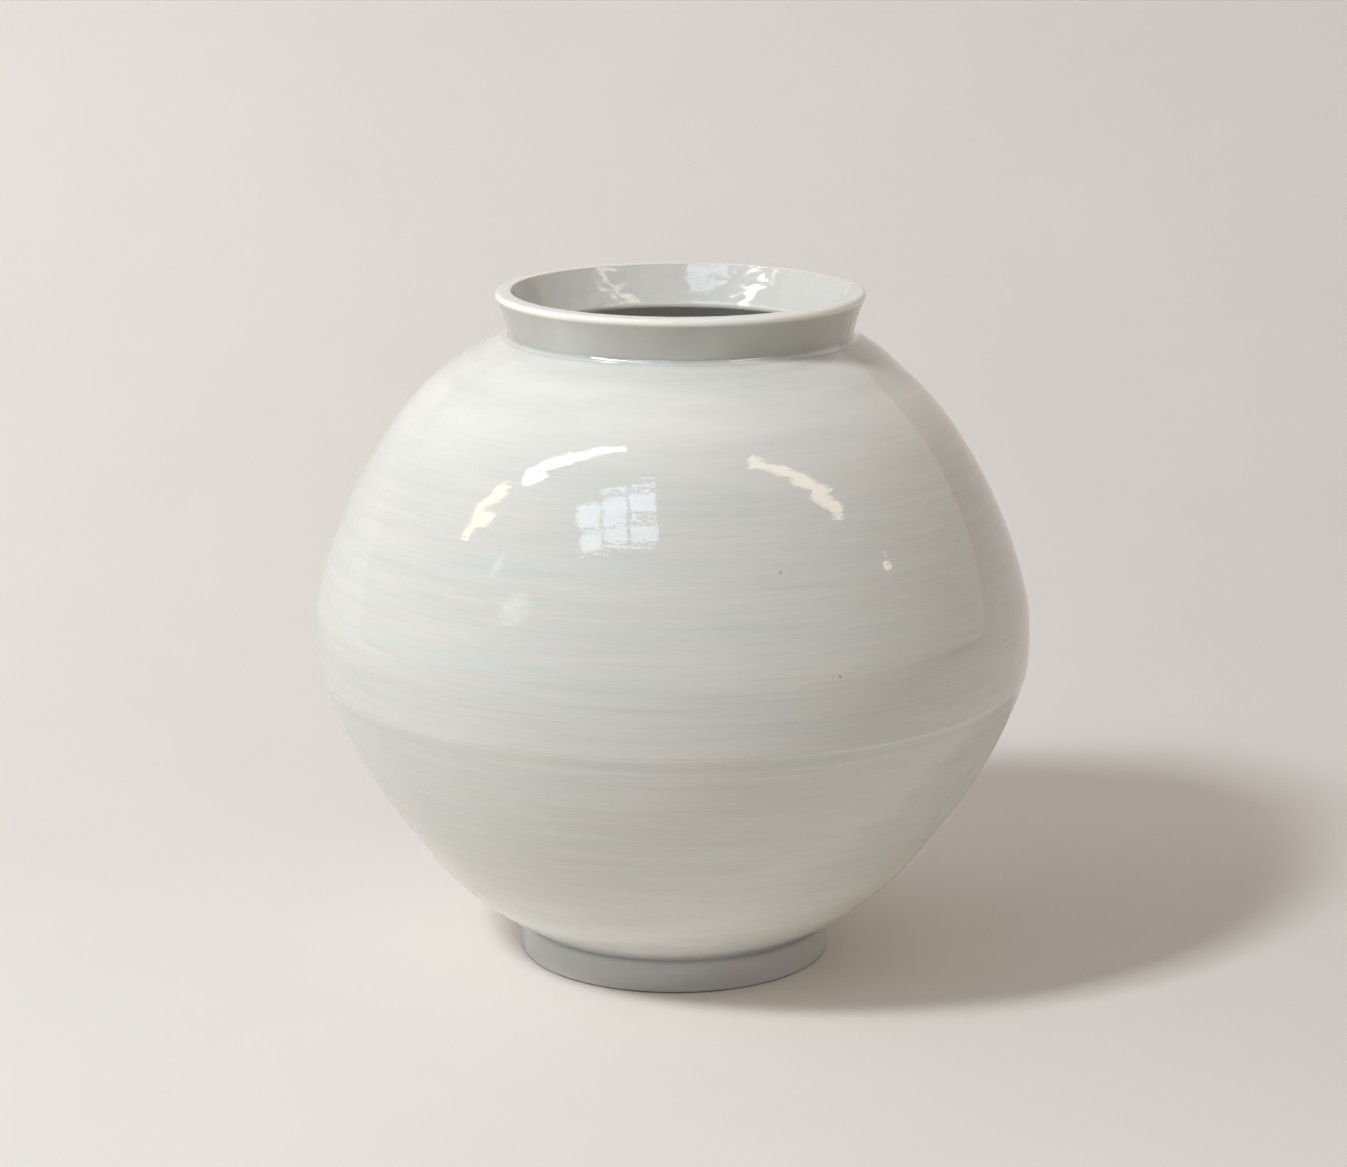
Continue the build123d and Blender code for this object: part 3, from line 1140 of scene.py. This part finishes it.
@dataclass
class Mouth(SubAssembly):
    """Mouth collar and the slip that joins it to the shoulder."""

    mouth_radius: float = 121.5
    lip_inner: float = 112.0
    lip_edge: float = 1.2
    crown_end: Point = (118.8, 449.7)
    lip_side: float = 447.0
    lip_under: Point = (121.15, 445.5)
    cone_lean: float = 27.0
    throat_lean: float = 24.6
    funnel_start: Point = (97.5, 425.33)
    funnel_lean: float = 32.5
    fillet: float = 3.7
    fillet_radius: float = 8.0
    fillet_angles: Point = (25.2, 60.0)
    step: float = 0.55
    lump_depth: float = 0.38
    lump_pitch: float = 10.0

    def cone(self) -> np.ndarray:
        """Points down the outside of the collar, from under the lip to its foot."""
        lean = math.radians(self.cone_lean)
        foot = (self.jar.collar_radius, self.jar.collar_foot)
        return tangent_arc(self.lip_under, (-math.sin(lean), -math.cos(lean)), foot, self.step)

    def collar(self) -> bpy.types.Object:
        """Build the collar, from the throat up the funnel, over the lip and down the outside."""
        jar, top, edge = self.jar, self.jar.total_height, self.lip_edge
        lip_start = (self.lip_inner, top)
        diagonal = math.sqrt(0.5)
        funnel_end = (lip_start[0] - edge * diagonal, top - edge * (1 - diagonal))
        foot = (jar.collar_radius, jar.collar_foot)
        side = (self.mouth_radius, self.lip_side)
        crown = tangent_arc(lip_start, (1, 0), self.crown_end, self.step)
        roll = tangent_arc(self.crown_end, heading_at_end(crown), side, 0.4)
        lean = math.radians(self.throat_lean)
        leave = (-math.sin(lean), math.cos(lean))
        throat = tangent_arc(jar.throat_high, leave, self.funnel_start, 0.4)

        lean = math.radians(self.funnel_lean)
        leave = (math.sin(lean), math.cos(lean))
        funnel = tangent_arc(self.funnel_start, leave, funnel_end, self.step)
        outline = Outline().touch(Depth.POOLED_AND_PAINTED_SHADE, foot, 6.0, 0.9)
        outline.touch(Depth.THIN, funnel_end, 0.8, 0.25).touch(Depth.THIN, self.lip_under, 1.1, 0.5)
        outline.run(throat, Marks.FAINT, pooled=0.1)
        outline.run(funnel, Marks.FULL, pooled=0.4)
        outline.run(tangent_arc(funnel_end, (1, 1), lip_start, 0.2), Marks.FAINT)
        outline.run(crown, Marks.FAINT).run(roll, Marks.FAINT)
        outline.run(tangent_arc(side, (0, -1), self.lip_under, 0.3), Marks.FAINT)
        # Painted shade: the whole outside of the collar, which faces down, is darkened to the pooled
        # tint; near its foot this is also real pooled glaze
        outline.run(self.cone(), Marks.FAINT, pooled=0.83)
        outline.run(straight(foot, jar.throat_high, 5.0))
        changes = {"Lump_Depth": self.lump_depth * MM, "Lump_Pitch": self.lump_pitch * MM}
        return self.dress("glazed_mouth_collar", outline, Slot.COLLAR, "mouth_collar", **changes)

    def seam(self) -> bpy.types.Object:
        """Build the slip under the collar, with the glaze that fills the corner outside it.

        The glaze rises from the shoulder in a hollow curve and turns sharply up into the collar.
        """
        jar = self.jar
        side, low, high = jar.collar_radius, jar.collar_seat, jar.collar_foot
        flat, steep = (math.radians(angle) for angle in self.fillet_angles)
        tip = (side + self.fillet, low - self.fillet * math.tan(flat) + jar.lap)
        across = self.fillet_radius * (math.sin(steep) - math.sin(flat))
        middle = (tip[0] - across, tip[1] + self.fillet_radius * (math.cos(flat) - math.cos(steep)))
        hem_level, cone = middle[1] + 0.8, self.cone()[::-1]
        hem = (float(np.interp(hem_level, cone[:, 1], cone[:, 0])) + jar.lap, hem_level)
        upper, lower = (side - jar.tuck, high), (side, low - jar.tuck)
        rise = tangent_arc(tip, (-math.cos(flat), math.sin(flat)), middle, 0.25)
        corner = tangent_arc(middle, heading_at_end(rise), hem, 0.15)
        outline = Outline().touch(Depth.POOLED_AND_PAINTED_SHADE, (side + 0.5, high + 0.8), 1.9, 1.0)
        outline.run(straight(jar.throat_low, jar.throat_high, 0.5), pooled=0.4)
        outline.run(straight(jar.throat_high, upper, 5.0)).run(straight(upper, hem, 0.5))
        outline.run(corner[::-1], Marks.FAINT).run(rise[::-1], Marks.FAINT)
        outline.run(straight(tip, lower, 0.5)).run(straight(lower, jar.throat_low, 5.0))
        return self.dress("collar_slip_line", outline, Slot.SLIP, "collar_slip_seam")

    def build(self) -> list[bpy.types.Object]:
        """Build both pieces."""
        return [self.seam(), self.collar()]


# Studio


@dataclass(frozen=True)
class Lamp:
    """A flat rectangular lamp, in metres, with its brightness as the eye sees it."""

    name: str
    place: Place
    width: float
    depth: float
    brightness: float
    tint: Colour
    facing: Place
    shine: Shine

    def hang(self) -> None:
        """Add the lamp to the scene."""
        light = bpy.data.lights.new(self.name, "AREA")
        light.shape = "RECTANGLE"
        light.size, light.size_y = self.width, self.depth
        light.energy = self.brightness * math.pi * self.width * self.depth
        light.color = self.tint
        lamp = bpy.data.objects.new(self.name, light)
        lamp.location = self.place
        lamp.rotation_euler = Vector(self.facing).to_track_quat("-Z", "Y").to_euler()
        lamp.visible_camera = False
        lamp.visible_diffuse, lamp.visible_glossy = self.shine.value
        bpy.context.scene.collection.objects.link(lamp)


@dataclass
class Studio:
    """Pale paper sweep, ceiling lamps, a roof window and the camera."""

    paper: Colour = (0.84, 0.8, 0.756)
    paper_strength: float = 0.95
    mottle: float = 0.07
    room: Colour = (1.0, 0.942, 0.92)
    room_strength: float = 0.345
    floor_size: float = 14.0
    sweep_start: float = 0.34
    sweep_radius: float = 1.1
    sweep_slope: float = 48.0
    sweep_length: float = 2.4
    sweep_width: float = 5.0
    sweep_lift: float = 0.0004
    row_height: float = 2.6
    window_corner: Place = (-2.5, -3.0, 4.6)
    window_slope: float = 31.0
    window_length: float = 1.166
    pane_pitch: float = 0.83
    pane_width: float = 0.75
    panes: tuple[Point, ...] = ((0.3, 0.6), (0.86, 0.5), (-0.1, 0.09))
    lens: float = 93.7
    camera_place: Place = (-0.0007, -2.2768, 0.795)
    camera_pitch: float = 13.423

    def paper_finish(self) -> bpy.types.Material:
        """Build the mottled paper, clear when seen from behind."""
        material = bpy.data.materials.new("studio_paper")
        material.use_nodes = True
        material.node_tree.nodes.clear()
        graph = Graph(material.node_tree)
        place = graph.add("ShaderNodeTexCoord").outputs["Object"]
        mottle = graph.math("SUBTRACT", graph.noise(place, 5.0, 4.0, 0.6), 0.5)
        shade = graph.math("MULTIPLY_ADD", mottle, self.mottle, 1.0)
        colour = graph.vector_math("SCALE", graph.combine(*self.paper), shade)
        inputs = {"Base Color": colour, "Roughness": 0.9, "Specular IOR Level": 0.1}
        sheet = graph.add("ShaderNodeBsdfPrincipled", inputs)
        clear = graph.add("ShaderNodeBsdfTransparent")
        behind = graph.add("ShaderNodeNewGeometry").outputs["Backfacing"]
        both = graph.add("ShaderNodeMixShader", {0: behind, 1: sheet.outputs[0], 2: clear.outputs[0]})
        graph.add("ShaderNodeOutputMaterial", {"Surface": both.outputs[0]})
        return material

    def stage(self) -> None:
        """Add the floor and the paper sweep that rises behind the jar."""
        finish = self.paper_finish()
        slope = math.radians(self.sweep_slope)
        rows = [(self.sweep_start, self.sweep_lift)]
        for angle in np.linspace(0, slope, 25)[1:]:
            rise = self.sweep_radius * (1 - math.cos(angle)) + self.sweep_lift
            rows.append((self.sweep_start + self.sweep_radius * math.sin(angle), rise))
        (y, z), length = rows[-1], self.sweep_length
        rows.append((y + length * math.cos(slope), z + length * math.sin(slope)))
        half = self.sweep_width / 2
        points = [(x, y, z) for y, z in rows for x in (-half, half)]
        faces = [(2 * i, 2 * i + 1, 2 * i + 3, 2 * i + 2) for i in range(len(rows) - 1)]
        far = self.floor_size
        floor = [(-far, -far, 0.0), (far, -far, 0.0), (far, far, 0.0), (-far, far, 0.0)]
        sheets = {"paper_floor": (floor, [(0, 1, 2, 3)]), "paper_sweep": (points, faces)}
        for name, (verts, polys) in sheets.items():
            mesh = bpy.data.meshes.new(name)
            mesh.from_pydata(verts, [], polys)
            mesh.shade_smooth()
            mesh.materials.append(finish)
            sheet = bpy.data.objects.new(name, mesh)
            bpy.context.scene.collection.objects.link(sheet)

    def glints(self) -> None:
        """Hang the ceiling row, the roof window and the wall patch that show in the glaze."""
        white, warm, pale = (1.0, 1.0, 0.985), (1.0, 0.86, 0.55), (1.0, 0.9, 0.66)
        down, ahead = (0.0, 0.0, -1.0), (0.0, 1.0, 0.0)
        row, glint = self.row_height, Shine.GLINT
        lamps = [
            Lamp("key_panel", (-1.78, -0.79, row), 0.95, 0.18, 70.0, white, down, glint),
            Lamp("key_tail", (-0.93, -0.82, row), 0.72, 0.11, 24.0, white, down, glint),
            Lamp("warm_row_left", (-3.6, -0.62, row), 2.0, 0.26, 7.0, warm, down, glint),
            Lamp("warm_row_right", (2.0, -0.98, row), 2.0, 0.24, 6.0, pale, down, glint),
            Lamp("warm_end_right", (5.6, -0.95, row), 0.7, 0.25, 6.0, pale, down, glint),
            Lamp("wall_glow", (-6.6, -3.0, 4.0), 0.9, 0.55, 2.5, warm, ahead, glint),
        ]
        for slat, width in enumerate((1.7, 0.9, 1.5, 1.3, 0.6)):
            place = (-4.2, -3.0, 1.92 + slat * 0.135)
            lamps.append(Lamp(f"wall_slat_{slat}", place, width, 0.08, 3.2, white, ahead, glint))
        sky, slope = (0.66, 0.82, 1.0), math.radians(self.window_slope)
        along, up = math.cos(slope), math.sin(slope)
        left, front, top = self.window_corner
        for column in range(3):
            x = left + column * self.pane_pitch
            for pane, (share, depth) in enumerate(self.panes):
                # The strip above the panes starts at the second column
                if pane == 2 and column == 0:
                    continue
                reach = share * self.window_length
                place = (x, front - along * reach, top - up * reach)
                name = f"roof_window_{column}_{pane}"
                facing = (0.0, up, -along)
                lamps.append(Lamp(name, place, self.pane_width, depth, 6.2, sky, facing, glint))
        for lamp in lamps:
            lamp.hang()

    def lights(self) -> None:
        """Hang the lamps that light the jar and the paper: one clear lamp and soft panels."""
        for name, azimuth, height, away, size, strength, tint in (
            ("clear_lamp", 40.0, 47.0, 3.6, 0.5, 1.9, (0.92, 0.963, 1.0)),
            ("soft_left_high", -20.0, 30.0, 3.0, 1.8, 0.16, (0.96, 0.983, 1.0)),
            ("soft_left_low", -10.0, 12.0, 3.0, 1.8, 0.58, (0.96, 0.983, 1.0)),
            ("soft_right", 180.0, 20.0, 3.0, 1.8, 0.24, (1.0, 0.8, 0.54)),
        ):
            turn, rise = math.radians(azimuth), math.radians(height)
            flat = math.cos(rise)
            way = Vector((-flat * math.cos(turn), -flat * math.sin(turn), math.sin(rise)))
            place = Vector((0.0, 0.0, 0.2)) + way * away
            brightness = strength * (away / size) ** 2
            Lamp(name, tuple(place), size, size, brightness, tint, tuple(-way), Shine.LIGHT).hang()

    def world(self) -> None:
        """Give the room its soft light, and its pale colour where it is seen or reflected."""
        world = bpy.data.worlds.new("room")
        world.use_nodes = True
        world.node_tree.nodes.clear()
        graph = Graph(world.node_tree)
        path = graph.add("ShaderNodeLightPath").outputs
        seen = graph.math("MAXIMUM", path["Is Camera Ray"], path["Is Glossy Ray"])
        seen = graph.math("MAXIMUM", seen, path["Is Transmission Ray"])
        light = graph.add("ShaderNodeBackground", {"Color": self.room, "Strength": self.room_strength})
        pale = graph.add("ShaderNodeBackground", {"Color": self.paper, "Strength": self.paper_strength})
        both = graph.add("ShaderNodeMixShader", {0: seen, 1: light.outputs[0], 2: pale.outputs[0]})
        graph.add("ShaderNodeOutputWorld", {"Surface": both.outputs[0]})
        bpy.context.scene.world = world

    def camera(self) -> None:
        """Add the camera at the photograph's viewing angle."""
        data = bpy.data.cameras.new("camera")
        data.sensor_width = 36.0
        data.lens = self.lens
        data.clip_end = 100.0
        camera = bpy.data.objects.new("camera", data)
        camera.location = self.camera_place
        camera.rotation_euler = (math.radians(90.0 - self.camera_pitch), 0.0, 0.0)
        bpy.context.scene.collection.objects.link(camera)
        bpy.context.scene.camera = camera

    def build(self) -> None:
        """Set up the whole studio."""
        self.camera()
        self.stage()
        self.glints()
        self.lights()
        self.world()
        bpy.context.scene.view_settings.view_transform = "Standard"


def glazes(effects: Effects) -> dict[Slot, bpy.types.Material]:
    """Build the finish of each material slot.

    Args:
        effects: The shared node groups.

    Returns:
        The materials by slot.
    """
    body, cool, warm = (0.66, 0.667, 0.62), (0.63, 0.66, 0.635), (0.7, 0.668, 0.61)
    streaks = ((0.73, 0.684, 0.615), (0.59, 0.622, 0.6))
    grey, pale, rust = (0.5, 0.53, 0.53), (0.835, 0.828, 0.775), (0.15, 0.085, 0.055)
    bowl = Glaze(
        "bowl_glaze",
        body,
        cool,
        warm,
        streaks,
        pooled=(0.47, 0.485, 0.45),
        thin=pale,
        lines=(
            # Pale lines along the two small ridges below the waist and a grey band in the hollow between
            # them: partly glaze tone, partly painted highlight on the ridges and painted shade in the
            # hollow
            Line(196.2, 0.9, 0.9, pale, 0.4),
            Line(191.5, 2.6, 3.4, grey, 0.13),
            Line(187.0, 0.8, 0.8, pale, 0.2),
        ),
        spots=(
            Spot(-72.6, 307.5, 1.7, 0.5),
            Spot(-64.7, 244.0, 1.4, 0.7),
        ),
    )
    # The collar glaze is a lighter copy of the bowl glaze, as painted light on the up-facing lip; its
    # outside is brought back down with the pooled tint as painted shade
    collar = Glaze(
        "collar_glaze",
        (0.9, 0.893, 0.83),
        (0.87, 0.883, 0.835),
        (0.92, 0.893, 0.825),
        ((0.92, 0.875, 0.8), (0.85, 0.875, 0.835)),
        pooled=(0.44, 0.448, 0.405),
        thin=(0.66, 0.57, 0.44),
        roughness=0.1,
        tone=0.5,
        tone_pitch=6.0,
    )
    foot = Glaze(
        "foot_glaze",
        (0.53, 0.54, 0.53),
        (0.505, 0.53, 0.53),
        (0.55, 0.535, 0.505),
        ((0.56, 0.53, 0.495), (0.5, 0.53, 0.53)),
        pooled=(0.3, 0.325, 0.32),
        thin=rust,
        roughness=0.25,
        tone=0.6,
        tone_pitch=5.0,
        lines=(Line(0.0, 1.5, 1.5, rust, 1.0, 0.4),),
    )
    slip = Glaze(
        "slip_glaze",
        (0.67, 0.672, 0.625),
        cool,
        warm,
        streaks,
        pooled=(0.4, 0.43, 0.42),
        thin=pale,
        tone=0.6,
        coat=1.0,
    )
    finishes = {Slot.BOWL: bowl, Slot.COLLAR: collar, Slot.FOOT: foot, Slot.SLIP: slip}
    return {slot: finish.material(effects) for slot, finish in finishes.items()}


def main() -> None:
    """Build the studio and the jar, piece by piece."""
    logging.basicConfig(level=logging.INFO, format="%(name)s: %(message)s")
    Studio().build()
    finishes = glazes(Effects())
    jar, wheel = Jar(), Wheel(Throwing())
    for part in (Foot(jar, wheel, finishes), Bowls(jar, wheel, finishes), Mouth(jar, wheel, finishes)):
        for piece in part.build():
            log.info("%s: %d faces", piece.name, len(piece.data.polygons))


if __name__ == "__main__":
    main()
